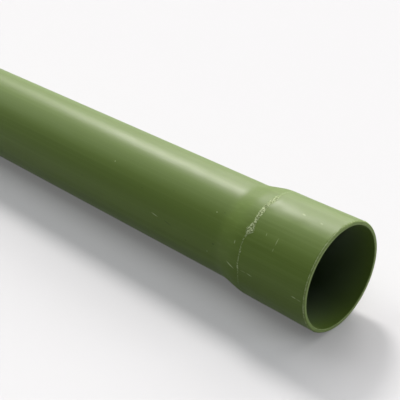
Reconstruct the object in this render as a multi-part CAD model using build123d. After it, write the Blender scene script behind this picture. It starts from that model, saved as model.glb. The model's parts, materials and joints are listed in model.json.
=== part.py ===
from build123d import *

import os

# A length of rigid PVC electrical conduit, extruded as one piece, with a socket
# formed on one end so that the plain end of the next length fits into it.
# Millimetres. X runs along the pipe's axis, from the plain end at X = 0 to the
# mouth of the socket. The pipe lies level, and Z is up.

# Extruded barrel
overall_length = 3000.0
barrel_diameter = 114.3
barrel_wall = 5.0

# Formed socket, from its mouth back to the barrel
socket_depth = 100.0
transition_length = 26.5
bell_wall = 4.6
seat_length = 38.0
seat_clearance = 0.8
entry_clearance = 1.6
knee_radius = 60.0

# Trimmed ends
mouth_bevel_length = 1.6
mouth_bevel_height = 1.3
mouth_inner_break = 0.5
plain_end_break = 0.5

# Radii about the axis. The socket is sized from the plain end that slides into
# it: a close cylindrical seat at its root, opening in a slow taper to the mouth.
barrel_radius = barrel_diameter / 2
bore_radius = barrel_radius - barrel_wall
seat_radius = barrel_radius + seat_clearance
entry_radius = barrel_radius + entry_clearance
bell_root_radius = seat_radius + bell_wall
bell_mouth_radius = entry_radius + bell_wall

# Stations along the axis
mouth = overall_length
bell_root = mouth - socket_depth
barrel_end = bell_root - transition_length
seat_end = bell_root + seat_length


def outer_line():
    """The outside, from the plain end to the mouth.

    At the first knee the wall bends away from the axis, so its outer side takes
    the tight radius. At the second it bends back, and takes the wide one.
    """
    return FilletPolyline(
        (plain_end_break, barrel_radius),
        (barrel_end, barrel_radius),
        (bell_root, bell_root_radius),
        (mouth - mouth_bevel_length, bell_mouth_radius),
        radius=[knee_radius, knee_radius + bell_wall],
    )


def inner_line():
    """The inside, from the mouth to the plain end: taper, seat, transition and bore."""
    taper = Line((mouth - mouth_inner_break, entry_radius), (seat_end, seat_radius))
    seat_to_bore = FilletPolyline(
        (seat_end, seat_radius),
        (bell_root, seat_radius),
        (barrel_end, bore_radius),
        (plain_end_break, bore_radius),
        radius=[knee_radius, knee_radius + barrel_wall],
    )
    return taper + seat_to_bore


def mouth_end():
    """The cut rim of the socket: a trimming bevel outside, the flat cut face, a broken edge inside."""
    return Polyline(
        (mouth - mouth_bevel_length, bell_mouth_radius),
        (mouth, bell_mouth_radius - mouth_bevel_height),
        (mouth, entry_radius + mouth_inner_break),
        (mouth - mouth_inner_break, entry_radius),
    )


def plain_end():
    """The square saw cut of the plain end, with both of its edges broken."""
    return Polyline(
        (plain_end_break, bore_radius),
        (0, bore_radius + plain_end_break),
        (0, barrel_radius - plain_end_break),
        (plain_end_break, barrel_radius),
    )


def conduit_pipe():
    """The whole pipe, turned about its axis from the section of its wall."""
    wall_section = make_face(outer_line() + mouth_end() + inner_line() + plain_end())
    return revolve(wall_section, Axis.X)


os.makedirs("parts", exist_ok=True)
pipe = conduit_pipe()
pipe.label = "conduit_pipe"
export_step(pipe, "parts/conduit_pipe.step")
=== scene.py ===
import json
import math

import bpy
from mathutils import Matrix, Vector


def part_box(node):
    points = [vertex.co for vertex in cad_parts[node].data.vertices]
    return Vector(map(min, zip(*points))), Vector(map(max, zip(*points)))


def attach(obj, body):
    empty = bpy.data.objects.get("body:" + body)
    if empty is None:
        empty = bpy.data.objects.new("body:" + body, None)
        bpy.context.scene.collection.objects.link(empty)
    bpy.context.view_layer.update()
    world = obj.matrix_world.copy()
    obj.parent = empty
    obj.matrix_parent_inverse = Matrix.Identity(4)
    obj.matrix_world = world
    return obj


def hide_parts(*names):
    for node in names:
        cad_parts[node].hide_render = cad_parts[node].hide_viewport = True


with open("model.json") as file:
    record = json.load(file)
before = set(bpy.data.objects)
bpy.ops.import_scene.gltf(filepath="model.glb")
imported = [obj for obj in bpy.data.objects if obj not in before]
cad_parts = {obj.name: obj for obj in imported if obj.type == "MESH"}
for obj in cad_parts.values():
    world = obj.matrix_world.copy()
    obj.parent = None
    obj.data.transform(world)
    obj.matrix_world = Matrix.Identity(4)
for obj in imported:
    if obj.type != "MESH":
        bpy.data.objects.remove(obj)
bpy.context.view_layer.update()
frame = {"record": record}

# A length of olive-green rigid PVC conduit, with a socket formed on one end.
# Metres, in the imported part's frame: X runs along the pipe's axis, from the
# plain end at X = 0 to the mouth of the socket, and Z is up. Places on the
# skin are given as millimetres back from the mouth, and degrees round from
# the top of the pipe towards its front, which faces -Y.

bl_info = {
    "name": "Belled conduit pipe",
    "version": (1, 0, 0),
    "blender": (4, 5, 0),
    "location": "3D View > Sidebar > Conduit",
    "description": "Models a length of belled PVC conduit and the studio round it",
    "category": "Object",
}

MM = 0.001
NODE = "conduit_pipe"

# Every finish is the same compound. Its skin is hazy rather than polished, so
# its specular level is well below the usual 0.5.
PVC_IOR = 1.5
PVC_SPECULAR = 0.13

# How far apart the section's points lie on each stretch of the wall: close
# where the ring and the rim get their relief, and far apart along the barrel.
SPACING = {
    "barrel": 120 * MM,
    "transition": 2.5 * MM,
    "ring": 1.0 * MM,
    "bell": 3.0 * MM,
    "near_rim": 1.0 * MM,
    "bevel": 0.5 * MM,
    "rim_face": 0.9 * MM,
    "edge_break": 0.4 * MM,
    "taper_inside": 6.0 * MM,
    "seat_inside": 8.0 * MM,
    "transition_inside": 4.0 * MM,
    "plain_cut": 1.0 * MM,
}
OUTER_BEND_STEPS = 10
INNER_BEND_STEPS = 8
TURN_STEPS = 384
WELD = 0.02 * MM
SMOOTH_ANGLE = math.radians(25)

# The close spacing for the ring ends at this share of the bell's outside, and
# that for the rim starts at this share of what is left.
RING_END_SHARE = 0.22
RIM_START_SHARE = 0.9

# The ring's relief fades out this far past its edges, in mm as its width is,
# and the socket's waves run this far out onto the barrel.
RING_FADE = 1.0
WAVE_REACH = 20 * MM

MOUNTS = {mount["name"]: mount for mount in frame["record"]["mounts"]}

# The CAD mesh has facets, so its box has the bell's full radius across Y and a
# little less in Z. The floor's depth is therefore taken from Y too.
LOW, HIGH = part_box(NODE)

# Marks that handling has left on the skin. Each is a streak between two
# places, both as (mm back from the mouth, degrees from the top), then its
# width in mm and how plainly it shows.
PALE_MARKS = [
    ((107.8, 88.8), (94.6, 93.0), 0.9, 0.70),
    ((51.4, 43.6), (51.2, 51.9), 0.7, 0.35),
    ((51.3, 54.4), (51.6, 58.1), 0.7, 0.25),
    ((67.0, 44.2), (66.3, 47.2), 0.7, 0.25),
    ((16.7, 89.1), (10.2, 89.5), 0.7, 0.60),
    ((10.2, 89.5), (3.7, 89.9), 0.6, 0.30),
    ((77.5, 90.2), (69.1, 91.1), 0.7, 0.45),
    ((86.7, 90.7), (77.5, 90.2), 0.6, 0.20),
    ((229.3, 80.6), (217.4, 82.3), 0.9, 0.45),
    ((140.1, 46.4), (139.4, 46.4), 0.9, 0.60),
    ((99.9, 63.9), (99.7, 67.0), 0.9, 0.50),
    ((139.9, 93.3), (139.1, 93.3), 0.8, 0.50),
    ((308.6, 44.4), (307.8, 44.4), 1.0, 0.50),
    ((47.6, 10.0), (43.5, 10.7), 1.3, 0.30),
    ((23.2, 11.4), (20.0, 12.3), 1.2, 0.25),
]
DARK_MARKS = [
    ((209.3, 81.7), (194.2, 85.8), 0.8, 0.55),
    ((131.6, 80.8), (130.6, 80.8), 1.1, 0.90),
    ((130.3, 43.6), (129.5, 43.6), 0.9, 0.60),
    ((173.2, 93.7), (172.4, 93.7), 1.0, 0.60),
    ((252.0, 59.1), (251.2, 59.1), 1.0, 0.50),
    ((206.9, 46.1), (206.1, 46.1), 0.9, 0.50),
    ((354.2, 78.7), (353.4, 78.7), 1.1, 0.50),
]

# How the scuffed ring runs on its way round, as (degrees from the top towards
# the front, mm back from the mouth, half of its width in mm, how plainly it
# shows).
RING_ROUND = [
    (-180, 90.0, 0.4, 0.10),
    (-90, 89.5, 0.5, 0.20),
    (-4, 89.0, 0.8, 0.25),
    (4, 88.0, 2.6, 0.60),
    (9, 87.4, 3.4, 0.85),
    (14, 88.0, 2.8, 0.65),
    (20, 88.0, 2.6, 0.75),
    (27, 87.6, 3.0, 0.95),
    (34, 87.2, 2.2, 0.75),
    (40, 86.8, 2.2, 0.75),
    (44, 87.0, 2.8, 0.80),
    (47, 87.4, 5.0, 0.90),
    (50, 87.4, 4.8, 0.90),
    (53, 88.4, 1.2, 0.50),
    (60, 90.2, 0.6, 0.40),
    (68, 90.0, 0.6, 0.50),
    (71, 90.0, 1.3, 0.85),
    (74, 89.8, 0.6, 0.40),
    (83, 89.8, 0.6, 0.50),
    (88, 90.3, 1.2, 0.80),
    (92, 89.2, 0.5, 0.35),
    (126, 92.6, 0.4, 0.15),
    (180, 90.0, 0.4, 0.10),
]

WARM, WHITE = "#FFFAF7", "#FFFFFF"

# Soft lamps far off, so that the whole length is lit evenly, as (name,
# azimuth from the front towards the mouth, elevation, how wide the lamp
# looks, strength, colour), with the angles in degrees. The key stands behind,
# towards the plain end.
LAMPS = [
    ("key_softbox", -126, 44, 14, 3.45, WARM),
    ("rear_left_softbox", -155, 42, 40, 1.7, WARM),
    ("rear_softbox", 180, 45, 50, 0.9, WARM),
    ("rear_low_softbox", -152, 24, 30, 0.9, WARM),
    ("right_softbox", 125, 12, 34, 1.6, WHITE),
    ("top_softbox", 0, 88, 60, 0.5, WHITE),
    ("front_high_softbox", 15, 60, 34, 0.35, WHITE),
    ("left_softbox", -80, 50, 40, 1.1, WHITE),
    ("front_left_softbox", -40, 36, 34, 0.15, WHITE),
]

# A sun shines alike from anywhere, so this only sets where its mark stands.
LAMP_DISTANCE = 3.0


def length(name, description, default):
    """A length of the object, in metres, as a user sees it in the panel."""
    return bpy.props.FloatProperty(
        name=name, description=description, default=default,
        subtype="DISTANCE", unit="LENGTH", precision=4,
    )


def angle(name, description, degrees):
    """An angle, written in degrees."""
    return bpy.props.FloatProperty(
        name=name, description=description, default=math.radians(degrees),
        subtype="ANGLE", unit="ROTATION",
    )


def colour(name, description, hex_code):
    """A colour, written as sRGB hex and kept as linear light."""
    return bpy.props.FloatVectorProperty(
        name=name, description=description, default=linear(hex_code),
        subtype="COLOR", size=4, min=0.0, max=1.0,
    )


def linear(hex_code):
    """An sRGB hex colour as linear red, green, blue and alpha."""
    shares = [int(hex_code[i:i + 2], 16) / 255 for i in (1, 3, 5)]
    light = [s / 12.92 if s <= 0.04045 else ((s + 0.055) / 1.055) ** 2.4 for s in shares]
    return (*light, 1.0)


class PipeSizes(bpy.types.PropertyGroup):
    """The wall's section, from the part's own mounts and its box."""

    mouth: length("Mouth", "Where the socket's cut rim lies along the axis", HIGH.x)
    barrel_radius: length(
        "Barrel radius", "Outside radius of the extruded barrel",
        MOUNTS["plain_end"]["dims"]["r_mm"] * MM)
    bore_radius: length(
        "Bore radius", "Inside radius of the barrel",
        MOUNTS["cable_way"]["dims"]["r_mm"] * MM)
    seat_radius: length(
        "Seat radius", "Inside radius of the socket's close seat",
        MOUNTS["socket"]["dims"]["r_mm"] * MM)
    bell_mouth_radius: length(
        "Bell mouth radius", "Outside radius of the socket at its mouth", HIGH.y)
    bell_wall: length(
        "Bell wall", "Wall of the socket, thinned as it was widened", 4.6 * MM)
    socket_depth: length("Socket depth", "From the mouth to the socket's root", 100 * MM)
    transition_length: length(
        "Transition", "From the socket's root to the barrel", 26.5 * MM)
    seat_length: length("Seat length", "Length of the close seat at the root", 38 * MM)
    knee_radius: length("Knee radius", "Tight side of the transition's two bends", 60 * MM)
    bevel_length: length(
        "Bevel length", "Trimming bevel outside the rim, along the axis", 1.6 * MM)
    bevel_height: length(
        "Bevel height", "Trimming bevel outside the rim, across the wall", 1.3 * MM)
    edge_break: length("Edge break", "Small break on the other cut edges", 0.5 * MM)


class PipeFinish(bpy.types.PropertyGroup):
    """The compound's colours, and what forming and handling have left on it."""

    compound: colour("Compound", "Colour of the PVC right through the wall", "#4F6327")
    compound_pale: colour("Compound, pale streak", "Where a die line runs paler", "#5B6F36")
    # The deep streak's colour also paints the shade in the corner of the trimmed rim.
    compound_deep_and_shade: colour("Compound, deep streak", "Where a die line runs darker", "#4B5E23")
    # The scuffed colour also paints the highlight on the rim's outer edge.
    scuffed: colour(
        "Scuffed", "PVC whitened by rubbing and by the forming tool's edge", "#B2BE96")
    grime: colour("Grime", "Dark nicks and specks", "#2B3517")
    bore: colour("Bore", "The inside skin deep in, greyed by dust", "#5B6854")
    cut: colour("Cut", "The trimmed rim and the saw cut", "#758654")
    ring_height: length("Ring height", "How far the ring's torn skin stands up", 0.9 * MM)
    wave_height: length("Waves", "How far the formed socket wanders in and out", 0.5 * MM)
    burr_height: length("Burrs", "How far the trimmed edge is nicked and raised", 0.5 * MM)


class StudioSettings(bpy.types.PropertyGroup):
    """Camera, lamps and floor."""

    aim: bpy.props.FloatVectorProperty(
        name="Aim", description="Where the camera looks", size=3,
        default=(2.8567, -0.0641, 0.0622), subtype="TRANSLATION", unit="LENGTH")
    distance: length("Distance", "From the aim to the camera", 0.947)
    azimuth: angle("Azimuth", "Camera's turn from the front towards the mouth", 44.19)
    elevation: angle("Elevation", "Camera's height above the horizon", 29.50)
    lens: bpy.props.FloatProperty(
        name="Lens", description="Focal length, in millimetres", default=80.73, unit="CAMERA")
    sensor: bpy.props.FloatProperty(
        name="Sensor", description="Sensor width, in millimetres", default=36.0, unit="CAMERA")
    floor_size: length("Floor size", "Side of the square floor", 400.0)
    floor_colour: colour("Floor", "Colour of the paper on the floor", "#A7A8AA")
    floor_glow: bpy.props.FloatProperty(
        name="Floor glow", description="Light behind the paper, which only a look at it shows",
        default=0.13, min=0.0)
    room_light: bpy.props.FloatProperty(
        name="Room light", description="How brightly the room lights the pipe",
        default=0.02, min=0.0)
    room_look: bpy.props.FloatProperty(
        name="Room look", description="How bright the room looks behind the floor",
        default=0.85, min=0.0)


# ---- Modelling ----


def stretch(start, end, spacing):
    """Evenly spaced points after the start of a straight run, up to its end."""
    start, end = Vector(start), Vector(end)
    steps = max(1, round((end - start).length / spacing))
    return [start.lerp(end, i / steps) for i in range(1, steps + 1)]


def knee(before, corner, after, radius, steps):
    """Points along the arc that rounds a corner of the section."""
    before, corner, after = Vector(before), Vector(corner), Vector(after)
    back, on = (before - corner).normalized(), (after - corner).normalized()
    half = back.angle(on) / 2
    centre = corner + (back + on).normalized() * radius / math.sin(half)
    first = corner + back * radius / math.tan(half) - centre
    last = corner + on * radius / math.tan(half) - centre
    sweep = first.angle_signed(last)
    turns = [-sweep * i / steps for i in range(steps + 1)]
    return [
        centre + Vector((
            first.x * math.cos(t) - first.y * math.sin(t),
            first.x * math.sin(t) + first.y * math.cos(t),
        ))
        for t in turns
    ]


def outside_line(sizes):
    """The outside of the section, from the plain end to the trimming bevel."""
    root = sizes.mouth - sizes.socket_depth
    barrel_end = root - sizes.transition_length
    start = (sizes.edge_break, sizes.barrel_radius)
    lower = (barrel_end, sizes.barrel_radius)
    upper = (root, sizes.seat_radius + sizes.bell_wall)
    end = (sizes.mouth - sizes.bevel_length, sizes.bell_mouth_radius)
    first = knee(start, lower, upper, sizes.knee_radius, OUTER_BEND_STEPS)
    second = knee(
        lower, upper, end, sizes.knee_radius + sizes.bell_wall, OUTER_BEND_STEPS)
    past_ring = second[-1].lerp(Vector(end), RING_END_SHARE)
    near_rim = past_ring.lerp(Vector(end), RIM_START_SHARE)
    line = [Vector(start)]
    line += stretch(start, first[0], SPACING["barrel"]) + first[1:]
    line += stretch(first[-1], second[0], SPACING["transition"]) + second[1:]
    line += stretch(second[-1], past_ring, SPACING["ring"])
    line += stretch(past_ring, near_rim, SPACING["bell"])
    line += stretch(near_rim, end, SPACING["near_rim"])
    return line


def mouth_line(sizes):
    """The cut rim: a trimming bevel, the flat face and a broken inner edge."""
    entry = sizes.bell_mouth_radius - sizes.bell_wall
    bevel_top = (sizes.mouth - sizes.bevel_length, sizes.bell_mouth_radius)
    bevel_foot = (sizes.mouth, sizes.bell_mouth_radius - sizes.bevel_height)
    face_end = (sizes.mouth, entry + sizes.edge_break)
    inner_end = (sizes.mouth - sizes.edge_break, entry)
    line = stretch(bevel_top, bevel_foot, SPACING["bevel"])
    line += stretch(bevel_foot, face_end, SPACING["rim_face"])
    line += stretch(face_end, inner_end, SPACING["edge_break"])
    return line


def inside_line(sizes):
    """The inside of the section, from the broken edge to the plain end."""
    root = sizes.mouth - sizes.socket_depth
    barrel_end = root - sizes.transition_length
    start = (sizes.mouth - sizes.edge_break, sizes.bell_mouth_radius - sizes.bell_wall)
    seat = (root + sizes.seat_length, sizes.seat_radius)
    upper = (root, sizes.seat_radius)
    lower = (barrel_end, sizes.bore_radius)
    end = (sizes.edge_break, sizes.bore_radius)
    wall = sizes.barrel_radius - sizes.bore_radius
    first = knee(seat, upper, lower, sizes.knee_radius, INNER_BEND_STEPS)
    second = knee(upper, lower, end, sizes.knee_radius + wall, INNER_BEND_STEPS)
    line = stretch(start, seat, SPACING["taper_inside"])
    line += stretch(seat, first[0], SPACING["seat_inside"]) + first[1:]
    line += stretch(first[-1], second[0], SPACING["transition_inside"]) + second[1:]
    line += stretch(second[-1], end, SPACING["barrel"])
    return line


def plain_line(sizes):
    """The square saw cut of the plain end, with both of its edges broken."""
    inner = (0, sizes.bore_radius + sizes.edge_break)
    outer = (0, sizes.barrel_radius - sizes.edge_break)
    start = (sizes.edge_break, sizes.bore_radius)
    end = (sizes.edge_break, sizes.barrel_radius)
    line = stretch(start, inner, SPACING["edge_break"])
    line += stretch(inner, outer, SPACING["plain_cut"])
    line += stretch(outer, end, SPACING["edge_break"])
    return line


def draw_line(name, line):
    """Starts one vertex at the line's first point and extrudes it through the rest.

    The line is drawn below the axis, so that the seam of the turned wall lies
    underneath the pipe.
    """
    bpy.ops.object.select_all(action="DESELECT")
    at = Vector((line[0].x, 0, -line[0].y))
    bpy.ops.mesh.primitive_plane_add(size=1 * MM, location=at)
    piece = bpy.context.object
    piece.name = name
    bpy.ops.object.transform_apply(location=True, rotation=True, scale=True)
    bpy.ops.object.mode_set(mode="EDIT")
    bpy.ops.mesh.select_all(action="SELECT")
    bpy.ops.mesh.merge(type="CENTER")
    for point in line[1:]:
        to = Vector((point.x, 0, -point.y))
        bpy.ops.mesh.extrude_vertices_move(TRANSFORM_OT_translate={"value": to - at})
        at = to
    bpy.ops.object.mode_set(mode="OBJECT")
    return piece


def turn_about_axis():
    """Closes the drawn section, and turns it once about the pipe's axis."""
    bpy.ops.object.mode_set(mode="EDIT")
    bpy.ops.mesh.select_all(action="SELECT")
    bpy.ops.mesh.remove_doubles(threshold=WELD)
    bpy.ops.mesh.spin(
        steps=TURN_STEPS, angle=2 * math.pi, use_auto_merge=False,
        center=(0, 0, 0), axis=(1, 0, 0))
    bpy.ops.mesh.select_all(action="SELECT")
    bpy.ops.mesh.remove_doubles(threshold=WELD)
    bpy.ops.mesh.normals_make_consistent(inside=False)
    bpy.ops.object.mode_set(mode="OBJECT")


def swell(low, high, value):
    """1 at the middle of a band, and falling smoothly to 0 at both of its ends."""
    share = (value - low) / (high - low)
    return math.sin(math.pi * share) ** 2 if 0 < share < 1 else 0.0


def ring_at(degrees):
    """The scuffed ring at a place round the pipe.

    Given as mm back from the mouth, half of its width in mm, and strength.
    """
    for (a, *values_a), (b, *values_b) in zip(RING_ROUND, RING_ROUND[1:]):
        if a <= degrees <= b:
            share = (degrees - a) / (b - a)
            return [va + (vb - va) * share for va, vb in zip(values_a, values_b)]
    return RING_ROUND[0][1:]


def relief(piece, name, height, grain, middle, weight_at):
    """Moves the skin in and out by a cloud pattern, as far as weight_at lets it.

    The pattern's lumps are some grain across, and a place where it is lighter
    than middle moves out.
    """
    group = piece.vertex_groups.new(name=name)
    for vertex in piece.data.vertices:
        weight = weight_at(vertex.co)
        if weight > 0:
            group.add([vertex.index], weight, "REPLACE")
    pattern = bpy.data.textures.new(name, type="CLOUDS")
    pattern.noise_scale = grain
    pattern.noise_depth = 2
    pattern.contrast = 1.6
    modifier = piece.modifiers.new(name, "DISPLACE")
    modifier.texture = pattern
    modifier.texture_coords = "LOCAL"
    modifier.vertex_group = name
    modifier.strength = height
    modifier.mid_level = middle
    bpy.ops.object.modifier_apply(modifier=name)
    piece.vertex_groups.remove(piece.vertex_groups[name])
    bpy.data.textures.remove(pattern)


def give_material(piece, material, belongs):
    """Gives a new material to the faces that belong to it, by where they lie."""
    piece.data.materials.append(material)
    bpy.ops.object.mode_set(mode="EDIT")
    bpy.ops.mesh.select_mode(type="FACE")
    bpy.ops.mesh.select_all(action="DESELECT")
    bpy.ops.object.mode_set(mode="OBJECT")
    for face in piece.data.polygons:
        face.select = belongs(face)
    bpy.ops.object.mode_set(mode="EDIT")
    piece.active_material_index = len(piece.data.materials) - 1
    bpy.ops.object.material_slot_assign()
    bpy.ops.mesh.select_all(action="DESELECT")
    bpy.ops.object.mode_set(mode="OBJECT")


# ---- Materials ----


def add_node(tree, kind, values=None, links=None):
    """Adds a node, sets its properties and its sockets' values, and links it.

    A value or link keyed by a number goes to the input of that number. A link
    comes from a node's first output, or from (node, output).
    """
    node = tree.nodes.new(kind)
    for key, value in (values or {}).items():
        if isinstance(key, int) or key in node.inputs:
            node.inputs[key].default_value = value
        else:
            setattr(node, key, value)
    for key, source in (links or {}).items():
        origin, output = source if isinstance(source, tuple) else (source, 0)
        tree.links.new(origin.outputs[output], node.inputs[key])
    return node


def unrolled_skin(tree, sizes):
    """The skin laid out flat, in mm: back from the mouth, and round from the top.

    Gives the nodes of the object's own place, of its three axes, of the mm
    back, of the turn in radians and of the flat skin.
    """
    place = add_node(tree, "ShaderNodeTexCoord")
    axes = add_node(tree, "ShaderNodeSeparateXYZ", links={0: (place, "Object")})
    back = add_node(
        tree, "ShaderNodeMath",
        {"operation": "MULTIPLY_ADD", 1: -1 / MM, 2: sizes.mouth / MM}, {0: (axes, "X")})
    turn = add_node(
        tree, "ShaderNodeMath", {"operation": "ARCTAN2"}, {0: (axes, "Y"), 1: (axes, "Z")})
    around = add_node(
        tree, "ShaderNodeMath",
        {"operation": "MULTIPLY", 1: -sizes.barrel_radius / MM}, {0: turn})
    skin = add_node(tree, "ShaderNodeCombineXYZ", links={"X": back, "Y": around})
    return place, axes, back, turn, skin


def streak_mask(tree, skin, marks, radius):
    """Where any of the marks lies, each a spindle between its two places.

    A mark shows fully in its middle quarter, and fades out to its edge.
    """
    total = None
    for (back_a, turn_a), (back_b, turn_b), width, shown in marks:
        a = Vector((back_a, math.radians(turn_a) * radius / MM, 0))
        b = Vector((back_b, math.radians(turn_b) * radius / MM, 0))
        run = b - a
        fitted = add_node(
            tree, "ShaderNodeMapping",
            {"vector_type": "TEXTURE", "Location": (a + b) / 2,
             "Rotation": (0, 0, math.atan2(run.y, run.x)),
             "Scale": (run.length / 2 + width, width, 1)},
            {"Vector": skin})
        off = add_node(
            tree, "ShaderNodeVectorMath", {"operation": "LENGTH"}, {0: fitted})
        mark = add_node(
            tree, "ShaderNodeMapRange",
            {"interpolation_type": "SMOOTHSTEP", "From Min": 1.0, "From Max": 0.25,
             "To Min": 0.0, "To Max": shown},
            {"Value": (off, "Value")})
        total = mark if total is None else add_node(
            tree, "ShaderNodeMath", {"operation": "MAXIMUM"}, {0: total, 1: mark})
    return total


def value_ramp(tree, share, stops):
    """A value that changes with a share from 0 to 1, from (share, value) stops."""
    ramp = add_node(tree, "ShaderNodeValToRGB", links={"Fac": share})
    elements = ramp.color_ramp.elements
    while len(elements) < len(stops):
        elements.new(0.5)
    for element, (position, value) in zip(elements, stops):
        element.position = position
        element.color = (value, value, value, 1)
    return ramp


def ring_ramp(tree, turn, column):
    """One of the ring's values, in its own unit, as it changes round the pipe."""
    stops = [(row[0], row[column]) for row in RING_ROUND]
    least = min(value for degrees, value in stops)
    span = max(value for degrees, value in stops) - least
    share = add_node(
        tree, "ShaderNodeMath",
        {"operation": "MULTIPLY_ADD", 1: -0.5 / math.pi, 2: 0.5}, {0: turn})
    ramp = value_ramp(
        tree, share,
        [(degrees / 360 + 0.5, (value - least) / span) for degrees, value in stops])
    return add_node(
        tree, "ShaderNodeMath", {"operation": "MULTIPLY_ADD", 1: span, 2: least}, {0: ramp})


def ring_mask(tree, back, turn, skin):
    """The scuffed ring: a torn film of skin, ragged at its edges and broken up."""
    middle = ring_ramp(tree, turn, 1)
    half_width = ring_ramp(tree, turn, 2)
    shown = ring_ramp(tree, turn, 3)
    aside = add_node(
        tree, "ShaderNodeMath", {"operation": "SUBTRACT"}, {0: back, 1: middle})
    off = add_node(tree, "ShaderNodeMath", {"operation": "ABSOLUTE"}, {0: aside})
    # The edge wanders by up to 1.2 mm either way, in steps of some 2.5 mm.
    wander = add_node(
        tree, "ShaderNodeTexNoise", {"Scale": 1 / 2.5, "Detail": 2.0}, {"Vector": skin})
    frayed = add_node(
        tree, "ShaderNodeMath", {"operation": "MULTIPLY_ADD", 1: 2.4}, {0: wander, 2: off})
    past_edge = add_node(
        tree, "ShaderNodeMath", {"operation": "SUBTRACT"}, {0: frayed, 1: half_width})
    # Half of the wandering is taken off again, and the edge fades over 1 mm.
    band = add_node(
        tree, "ShaderNodeMapRange",
        {"interpolation_type": "SMOOTHSTEP", "From Min": 1.2 + 0.5, "From Max": 1.2 - 0.5},
        {"Value": past_edge})
    # The film has broken up into crumbs some 2 mm across.
    crumbs = add_node(
        tree, "ShaderNodeTexNoise",
        {"Scale": 1 / 2.0, "Detail": 3.0, "Roughness": 0.7}, {"Vector": skin})
    broken = add_node(
        tree, "ShaderNodeMapRange",
        {"From Min": 0.44, "From Max": 0.56}, {"Value": crumbs})
    torn = add_node(tree, "ShaderNodeMath", {"operation": "MULTIPLY"}, {0: band, 1: broken})
    return add_node(tree, "ShaderNodeMath", {"operation": "MULTIPLY"}, {0: torn, 1: shown})


def rigid_pvc(name):
    """A material that has only what all of the pipe's finishes share."""
    material = bpy.data.materials.new(name)
    material.use_nodes = True
    tree = material.node_tree
    shader = tree.nodes["Principled BSDF"]
    shader.inputs["IOR"].default_value = PVC_IOR
    shader.inputs["Specular IOR Level"].default_value = PVC_SPECULAR
    return material, tree, shader


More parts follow.
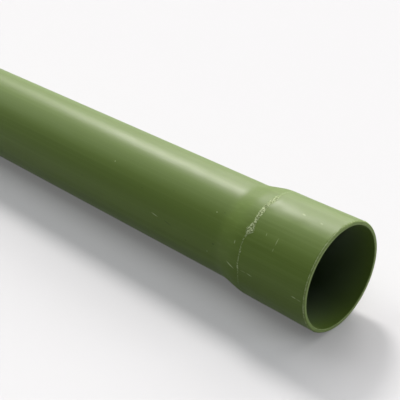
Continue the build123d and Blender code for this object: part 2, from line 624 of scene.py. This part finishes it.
def extruded_pvc(sizes, finish):
    """Rigid PVC conduit compound, pigmented right through and extruded.

    The die leaves a smooth satin skin with faint lengthwise lines, along which
    the pigment runs a little paler or deeper. Rubbing and the forming tool's
    edge whiten it.
    """
    material, tree, shader = rigid_pvc("extruded_rigid_pvc")
    place, _, back, turn, skin = unrolled_skin(tree, sizes)

    # Die lines 3 mm apart and a metre or two long, so per metre 330 and 0.6.
    die_place = add_node(
        tree, "ShaderNodeMapping", {"Scale": (0.6, 330, 330)}, {"Vector": (place, "Object")})
    die_lines = add_node(
        tree, "ShaderNodeTexNoise",
        {"Scale": 1.0, "Detail": 3.0, "Roughness": 0.6}, {"Vector": die_place})
    # Broad pigment streaks 14 mm wide and half a metre long.
    pigment_place = add_node(
        tree, "ShaderNodeMapping", {"Scale": (2, 70, 70)}, {"Vector": (place, "Object")})
    pigment = add_node(
        tree, "ShaderNodeTexNoise", {"Scale": 1.0, "Detail": 2.0}, {"Vector": pigment_place})
    # Handling haze in patches 40 mm long and 17 mm wide.
    haze_place = add_node(
        tree, "ShaderNodeMapping", {"Scale": (25, 60, 60)}, {"Vector": (place, "Object")})
    haze = add_node(
        tree, "ShaderNodeTexNoise", {"Scale": 1.0, "Detail": 4.0}, {"Vector": haze_place})
    # The skin's grain is some 0.1 mm across, too fine to show, and is drawn at 1.5 mm.
    grain = add_node(
        tree, "ShaderNodeTexNoise", {"Scale": 1 / 1.5, "Detail": 2.0}, {"Vector": skin})

    deep_share = add_node(
        tree, "ShaderNodeMapRange", {"From Min": 0.35, "From Max": 0.65}, {"Value": pigment})
    base = add_node(
        tree, "ShaderNodeMix",
        {"data_type": "RGBA", 6: finish.compound_deep_and_shade, 7: finish.compound},
        {0: deep_share})
    pale_share = add_node(
        tree, "ShaderNodeMapRange",
        {"From Min": 0.50, "From Max": 0.72, "To Max": 0.42}, {"Value": die_lines})
    lined = add_node(
        tree, "ShaderNodeMix", {"data_type": "RGBA", 7: finish.compound_pale},
        {0: pale_share, 6: (base, 2)})

    ring = ring_mask(tree, back, turn, skin)
    pale = streak_mask(tree, skin, PALE_MARKS, sizes.barrel_radius)
    dark = streak_mask(tree, skin, DARK_MARKS, sizes.barrel_radius)
    rubbed = add_node(tree, "ShaderNodeMath", {"operation": "MAXIMUM"}, {0: ring, 1: pale})
    scuffed = add_node(
        tree, "ShaderNodeMix", {"data_type": "RGBA", 7: finish.scuffed},
        {0: rubbed, 6: (lined, 2)})
    marked = add_node(
        tree, "ShaderNodeMix", {"data_type": "RGBA", 7: finish.grime},
        {0: dark, 6: (scuffed, 2)})
    tree.links.new(marked.outputs[2], shader.inputs["Base Color"])

    satin = add_node(
        tree, "ShaderNodeMapRange",
        {"From Min": 0.3, "From Max": 0.7, "To Min": 0.37, "To Max": 0.43}, {"Value": haze})
    # Stretching the hot wall has taken some gloss, from 20 mm on the mouth's
    # side of the socket's root to where the barrel starts.
    root_start = sizes.socket_depth / MM - 20
    barrel_start = (sizes.socket_depth + sizes.transition_length) / MM
    along = add_node(
        tree, "ShaderNodeMapRange",
        {"From Min": root_start, "From Max": barrel_start}, {"Value": back})
    stretched = value_ramp(tree, along, [(0.0, 0.0), (0.3, 0.09), (0.75, 0.09), (1.0, 0.0)])
    dull = add_node(tree, "ShaderNodeMath", {"operation": "ADD"}, {0: satin, 1: stretched})
    # Rubbed places are rougher by 0.2.
    dulled = add_node(
        tree, "ShaderNodeMath", {"operation": "MULTIPLY_ADD", 1: 0.2}, {0: rubbed, 2: dull})
    tree.links.new(dulled.outputs[0], shader.inputs["Roughness"])

    # Heights in mm, summed.
    heights = add_node(
        tree, "ShaderNodeMath", {"operation": "MULTIPLY", 1: 0.025}, {0: die_lines})
    for pattern, height in ((grain, 0.006), (ring, 0.5), (pale, 0.05), (dark, -0.08)):
        heights = add_node(
            tree, "ShaderNodeMath", {"operation": "MULTIPLY_ADD", 1: height},
            {0: pattern, 2: heights})
    skin_bump = add_node(
        tree, "ShaderNodeBump", {"Strength": 1.0, "Distance": MM}, {"Height": heights})
    tree.links.new(skin_bump.outputs[0], shader.inputs["Normal"])
    return material


def bore_pvc(sizes, finish):
    """The inside skin of the same pipe, drawn over the die's smooth core.

    It has the core's faint lengthwise lines, and site dust greys and dulls it.
    """
    material, tree, shader = rigid_pvc("dusty_rigid_pvc")
    place, axes, back, _, skin = unrolled_skin(tree, sizes)
    # Core lines 4 mm apart and over a metre long, so per metre 250 and 0.8.
    core_place = add_node(
        tree, "ShaderNodeMapping", {"Scale": (0.8, 250, 250)}, {"Vector": (place, "Object")})
    core_lines = add_node(
        tree, "ShaderNodeTexNoise", {"Scale": 1.0, "Detail": 2.0}, {"Vector": core_place})
    # Dust in patches some 30 mm across, which thins out towards both ends.
    dust = add_node(
        tree, "ShaderNodeTexNoise", {"Scale": 1 / 30, "Detail": 4.0}, {"Vector": skin})
    patches = add_node(
        tree, "ShaderNodeMapRange",
        {"From Min": 0.3, "From Max": 0.6, "To Min": 0.8}, {"Value": dust})
    from_plain_end = add_node(
        tree, "ShaderNodeMath", {"operation": "MULTIPLY", 1: 1 / MM}, {0: (axes, "X")})
    from_end = add_node(
        tree, "ShaderNodeMath", {"operation": "MINIMUM"}, {0: back, 1: from_plain_end})
    depth = add_node(
        tree, "ShaderNodeMapRange", {"From Min": 2.0, "From Max": 50.0}, {"Value": from_end})
    dusted = add_node(
        tree, "ShaderNodeMath", {"operation": "MULTIPLY"}, {0: patches, 1: depth})
    tone = add_node(
        tree, "ShaderNodeMix",
        {"data_type": "RGBA", 6: finish.compound, 7: finish.bore}, {0: dusted})
    tree.links.new(tone.outputs[2], shader.inputs["Base Color"])
    dull = add_node(
        tree, "ShaderNodeMapRange", {"To Min": 0.42, "To Max": 0.52}, {"Value": dust})
    tree.links.new(dull.outputs[0], shader.inputs["Roughness"])
    heights = add_node(
        tree, "ShaderNodeMath", {"operation": "MULTIPLY", 1: 0.02}, {0: core_lines})
    core_bump = add_node(
        tree, "ShaderNodeBump", {"Strength": 1.0, "Distance": MM}, {"Height": heights})
    tree.links.new(core_bump.outputs[0], shader.inputs["Normal"])
    return material


def trimmed_pvc(sizes, finish):
    """The same compound where a saw and a trimming tool have cut it.

    The tool goes round, so its marks run round the rim, and the cut is duller
    and a little paler than the skin.
    """
    material, tree, shader = rigid_pvc("trimmed_rigid_pvc")
    _, axes, back, turn, skin = unrolled_skin(tree, sizes)
    flat = add_node(
        tree, "ShaderNodeCombineXYZ", links={"X": (axes, "Y"), "Y": (axes, "Z")})
    out = add_node(tree, "ShaderNodeVectorMath", {"operation": "LENGTH"}, {0: flat})
    # Tool marks 0.2 mm apart and some 10 mm long, drawn 0.5 mm apart to show. A
    # radian of the rim is some 60 mm, so it has 6 of them.
    grooves = add_node(
        tree, "ShaderNodeMath", {"operation": "MULTIPLY", 1: 1 / (0.5 * MM)},
        {0: (out, "Value")})
    around = add_node(tree, "ShaderNodeMath", {"operation": "MULTIPLY", 1: 6.0}, {0: turn})
    along = add_node(tree, "ShaderNodeMath", {"operation": "MULTIPLY", 1: 2.0}, {0: back})
    tool_place = add_node(
        tree, "ShaderNodeCombineXYZ", links={"X": grooves, "Y": around, "Z": along})
    tool_marks = add_node(
        tree, "ShaderNodeTexNoise", {"Scale": 1.0, "Detail": 3.0}, {"Vector": tool_place})
    tone = add_node(
        tree, "ShaderNodeMix",
        {"data_type": "RGBA", 6: finish.compound, 7: finish.cut}, {0: tool_marks})

    # How far across the wall a place on the rim lies, from the outer skin inwards.
    across = add_node(
        tree, "ShaderNodeMath",
        {"operation": "MULTIPLY_ADD", 1: -1 / sizes.bell_wall,
         2: sizes.bell_mouth_radius / sizes.bell_wall},
        {0: (out, "Value")})
    # Painted shade: the corner where the bevel meets the face is darkened with the deep
    # streak's colour, standing for the shadow in a groove there.
    corner = sizes.bevel_height / sizes.bell_wall
    painted_corner_shade = value_ramp(
        tree, across,
        [(corner - 0.10, 0.0), (corner, 0.5), (corner + 0.06, 0.5), (corner + 0.14, 0.0)])
    # Mixes the painted corner shade into the cut's colour.
    corner_shaded = add_node(
        tree, "ShaderNodeMix", {"data_type": "RGBA", 7: finish.compound_deep_and_shade},
        {0: painted_corner_shade, 6: (tone, 2)})
    # Handling has whitened both edges, in nicks some 2 mm long. The outer edge is made paler
    # still as a painted highlight, where its rounding catches the light.
    edges = value_ramp(
        tree, across, [(0.0, 0.7), (0.16, 0.1), (0.85, 0.0), (0.95, 0.4), (1.0, 0.0)])
    crumbs = add_node(
        tree, "ShaderNodeTexNoise", {"Scale": 1 / 2.2, "Detail": 3.0}, {"Vector": skin})
    nicks = add_node(
        tree, "ShaderNodeMapRange",
        {"From Min": 0.40, "From Max": 0.70, "To Max": 1.5}, {"Value": crumbs})
    whitened = add_node(
        tree, "ShaderNodeMath", {"operation": "MULTIPLY", "use_clamp": True},
        {0: edges, 1: nicks})
    # Mixes in the scuffed colour: whitened nicks, and on the outer edge a painted highlight as
    # well.
    nicked = add_node(
        tree, "ShaderNodeMix", {"data_type": "RGBA", 7: finish.scuffed},
        {0: whitened, 6: (corner_shaded, 2)})
    tree.links.new(nicked.outputs[2], shader.inputs["Base Color"])
    dull = add_node(
        tree, "ShaderNodeMapRange", {"To Min": 0.45, "To Max": 0.6}, {"Value": tool_marks})
    tree.links.new(dull.outputs[0], shader.inputs["Roughness"])
    heights = add_node(
        tree, "ShaderNodeMath", {"operation": "MULTIPLY", 1: 0.05}, {0: tool_marks})
    cut_bump = add_node(
        tree, "ShaderNodeBump", {"Strength": 1.0, "Distance": MM}, {"Height": heights})
    tree.links.new(cut_bump.outputs[0], shader.inputs["Normal"])
    return material


def looked_at(tree):
    """1 where the camera looks, straight or in something shiny or clear, and 0 for light."""
    looks = add_node(tree, "ShaderNodeLightPath")
    seen = add_node(
        tree, "ShaderNodeMath", {"operation": "MAXIMUM"},
        {0: (looks, "Is Camera Ray"), 1: (looks, "Is Glossy Ray")})
    return add_node(
        tree, "ShaderNodeMath", {"operation": "MAXIMUM"},
        {0: seen, 1: (looks, "Is Transmission Ray")})


def floor_paint(studio):
    """Plain matt paper, with a light behind it that only a look at it shows.

    The camera, and the shiny and clear things that mirror it, see the paper
    nearly white with the pipe's shadow on it, and it throws no more light on
    the pipe than paper of its own colour does.
    """
    material = bpy.data.materials.new("matt_paper")
    material.use_nodes = True
    tree = material.node_tree
    shader = tree.nodes["Principled BSDF"]
    shader.inputs["Base Color"].default_value = studio.floor_colour
    shader.inputs["Roughness"].default_value = 0.9
    shader.inputs["Specular IOR Level"].default_value = 0.0
    shader.inputs["Emission Color"].default_value = (1, 1, 1, 1)
    glow = add_node(
        tree, "ShaderNodeMath", {"operation": "MULTIPLY", 1: studio.floor_glow},
        {0: looked_at(tree)})
    tree.links.new(glow.outputs[0], shader.inputs["Emission Strength"])
    return material


def room_air(studio):
    """A pale room to look at or to see mirrored, which is dim as a light."""
    room = bpy.data.worlds.new("pale_room")
    room.use_nodes = True
    tree = room.node_tree
    air = tree.nodes["Background"]
    air.inputs["Color"].default_value = (1, 1, 1, 1)
    strength = add_node(
        tree, "ShaderNodeMapRange",
        {"To Min": studio.room_light, "To Max": studio.room_look}, {"Value": looked_at(tree)})
    tree.links.new(strength.outputs[0], air.inputs["Strength"])
    return room


# ---- Operators ----


class OBJECT_OT_conduit_wall(bpy.types.Operator):
    """Draws the wall's section, turns it about the axis and finishes its skin"""

    bl_idname = "object.conduit_wall"
    bl_label = "Belled pipe"
    bl_options = {"REGISTER", "UNDO"}

    def execute(self, context):
        sizes, finish = context.scene.conduit_sizes, context.scene.conduit_finish
        line = outside_line(sizes) + mouth_line(sizes)
        line += inside_line(sizes) + plain_line(sizes)
        piece = draw_line("pipe_wall", line)
        turn_about_axis()
        if not piece.data.polygons:
            raise RuntimeError("the wall's section didn't turn into a surface")

        root = sizes.mouth - sizes.socket_depth
        barrel_end = root - sizes.transition_length
        middle = sizes.seat_radius + sizes.bell_wall / 2
        rim_middle = sizes.bell_mouth_radius - sizes.bell_wall / 2

        def ring_weight(co):
            back, width, shown = ring_at(math.degrees(math.atan2(-co.y, co.z)))
            off = abs((sizes.mouth - co.x) / MM - back)
            reach = width + RING_FADE
            if off > reach or math.hypot(co.y, co.z) < middle:
                return 0.0
            return shown * swell(-reach, reach, off)

        def wave_weight(co):
            if math.hypot(co.y, co.z) < middle and co.x > root:
                return 0.0
            return swell(barrel_end - WAVE_REACH, sizes.mouth, co.x)

        def burr_weight(co):
            near = 0.2 * MM
            out = math.hypot(co.y, co.z)
            edge = sizes.mouth - sizes.bevel_length
            return 1.0 if out > middle and abs(co.x - edge) < near else 0.0

        relief(
            piece, "formed_waves", finish.wave_height,
            grain=30 * MM, middle=0.5, weight_at=wave_weight)
        relief(
            piece, "torn_ring", finish.ring_height,
            grain=2.2 * MM, middle=0.4, weight_at=ring_weight)
        relief(
            piece, "trimmed_edge", finish.burr_height,
            grain=3.0 * MM, middle=0.6, weight_at=burr_weight)

        def in_bore(face):
            return face.normal.y * face.center.y + face.normal.z * face.center.z < 0

        def is_cut(face):
            slack = 0.05 * MM
            out = math.hypot(face.center.y, face.center.z)
            reach = sizes.edge_break if out < rim_middle else sizes.bevel_length
            at_mouth = face.center.x > sizes.mouth - reach + slack
            return at_mouth or face.center.x < sizes.edge_break - slack

        piece.data.materials.append(extruded_pvc(sizes, finish))
        give_material(piece, bore_pvc(sizes, finish), in_bore)
        give_material(piece, trimmed_pvc(sizes, finish), is_cut)
        bpy.ops.object.shade_smooth_by_angle(angle=SMOOTH_ANGLE)

        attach(piece, "root")
        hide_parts(NODE)
        return {"FINISHED"}


class OBJECT_OT_conduit_studio(bpy.types.Operator):
    """Lays the pale floor and sets the lamps, the room's colour and the camera"""

    bl_idname = "object.conduit_studio"
    bl_label = "Studio"
    bl_options = {"REGISTER", "UNDO"}

    def execute(self, context):
        studio = context.scene.conduit_studio
        bpy.ops.object.select_all(action="DESELECT")
        bpy.ops.mesh.primitive_plane_add(
            size=studio.floor_size, location=(HIGH.x / 2, 0, LOW.y))
        floor = context.object
        floor.name = "floor"
        floor.data.materials.append(floor_paint(studio))

        aim = Vector(studio.aim)
        for name, azimuth, elevation, width, strength, tint in LAMPS:
            out = direction(math.radians(azimuth), math.radians(elevation))
            bpy.ops.object.light_add(type="SUN", location=aim + out * LAMP_DISTANCE)
            lamp = context.object
            lamp.name = name
            lamp.rotation_euler = out.to_track_quat("Z", "Y").to_euler()
            lamp.data.angle = math.radians(width)
            lamp.data.energy = strength
            lamp.data.color = linear(tint)[:3]

        context.scene.world = room_air(studio)

        out = direction(studio.azimuth, studio.elevation)
        bpy.ops.object.camera_add(location=aim + out * studio.distance)
        camera = context.object
        camera.name = "camera"
        camera.rotation_euler = out.to_track_quat("Z", "Y").to_euler()
        camera.data.lens = studio.lens
        camera.data.sensor_width = studio.sensor
        camera.data.clip_start = 10 * MM
        camera.data.clip_end = studio.floor_size
        context.scene.camera = camera
        context.scene.view_settings.view_transform = "Standard"
        return {"FINISHED"}


def direction(azimuth, elevation):
    """Unit vector out from the object, turned from its front towards the mouth."""
    level = math.cos(elevation)
    return Vector((
        math.sin(azimuth) * level, -math.cos(azimuth) * level, math.sin(elevation)))


class VIEW3D_PT_conduit(bpy.types.Panel):
    """The pieces and their values"""

    bl_idname = "VIEW3D_PT_conduit"
    bl_label = "Conduit"
    bl_space_type = "VIEW_3D"
    bl_region_type = "UI"
    bl_category = "Conduit"

    def draw(self, context):
        for pointer in GROUPS:
            group = getattr(context.scene, pointer)
            box = self.layout.box()
            for name in group.bl_rna.properties.keys():
                if name not in ("rna_type", "name"):
                    box.prop(group, name)
        for operator in OPERATORS:
            self.layout.operator(operator.bl_idname)


GROUPS = {
    "conduit_sizes": PipeSizes,
    "conduit_finish": PipeFinish,
    "conduit_studio": StudioSettings,
}
OPERATORS = (OBJECT_OT_conduit_wall, OBJECT_OT_conduit_studio)


def register():
    for name, group in GROUPS.items():
        bpy.utils.register_class(group)
        setattr(bpy.types.Scene, name, bpy.props.PointerProperty(type=group))
    for kind in (*OPERATORS, VIEW3D_PT_conduit):
        bpy.utils.register_class(kind)


def unregister():
    for kind in (VIEW3D_PT_conduit, *reversed(OPERATORS)):
        bpy.utils.unregister_class(kind)
    for name, group in reversed(GROUPS.items()):
        delattr(bpy.types.Scene, name)
        bpy.utils.unregister_class(group)


def main():
    register()
    bpy.ops.object.conduit_wall()
    bpy.ops.object.conduit_studio()


if __name__ == "__main__":
    main()
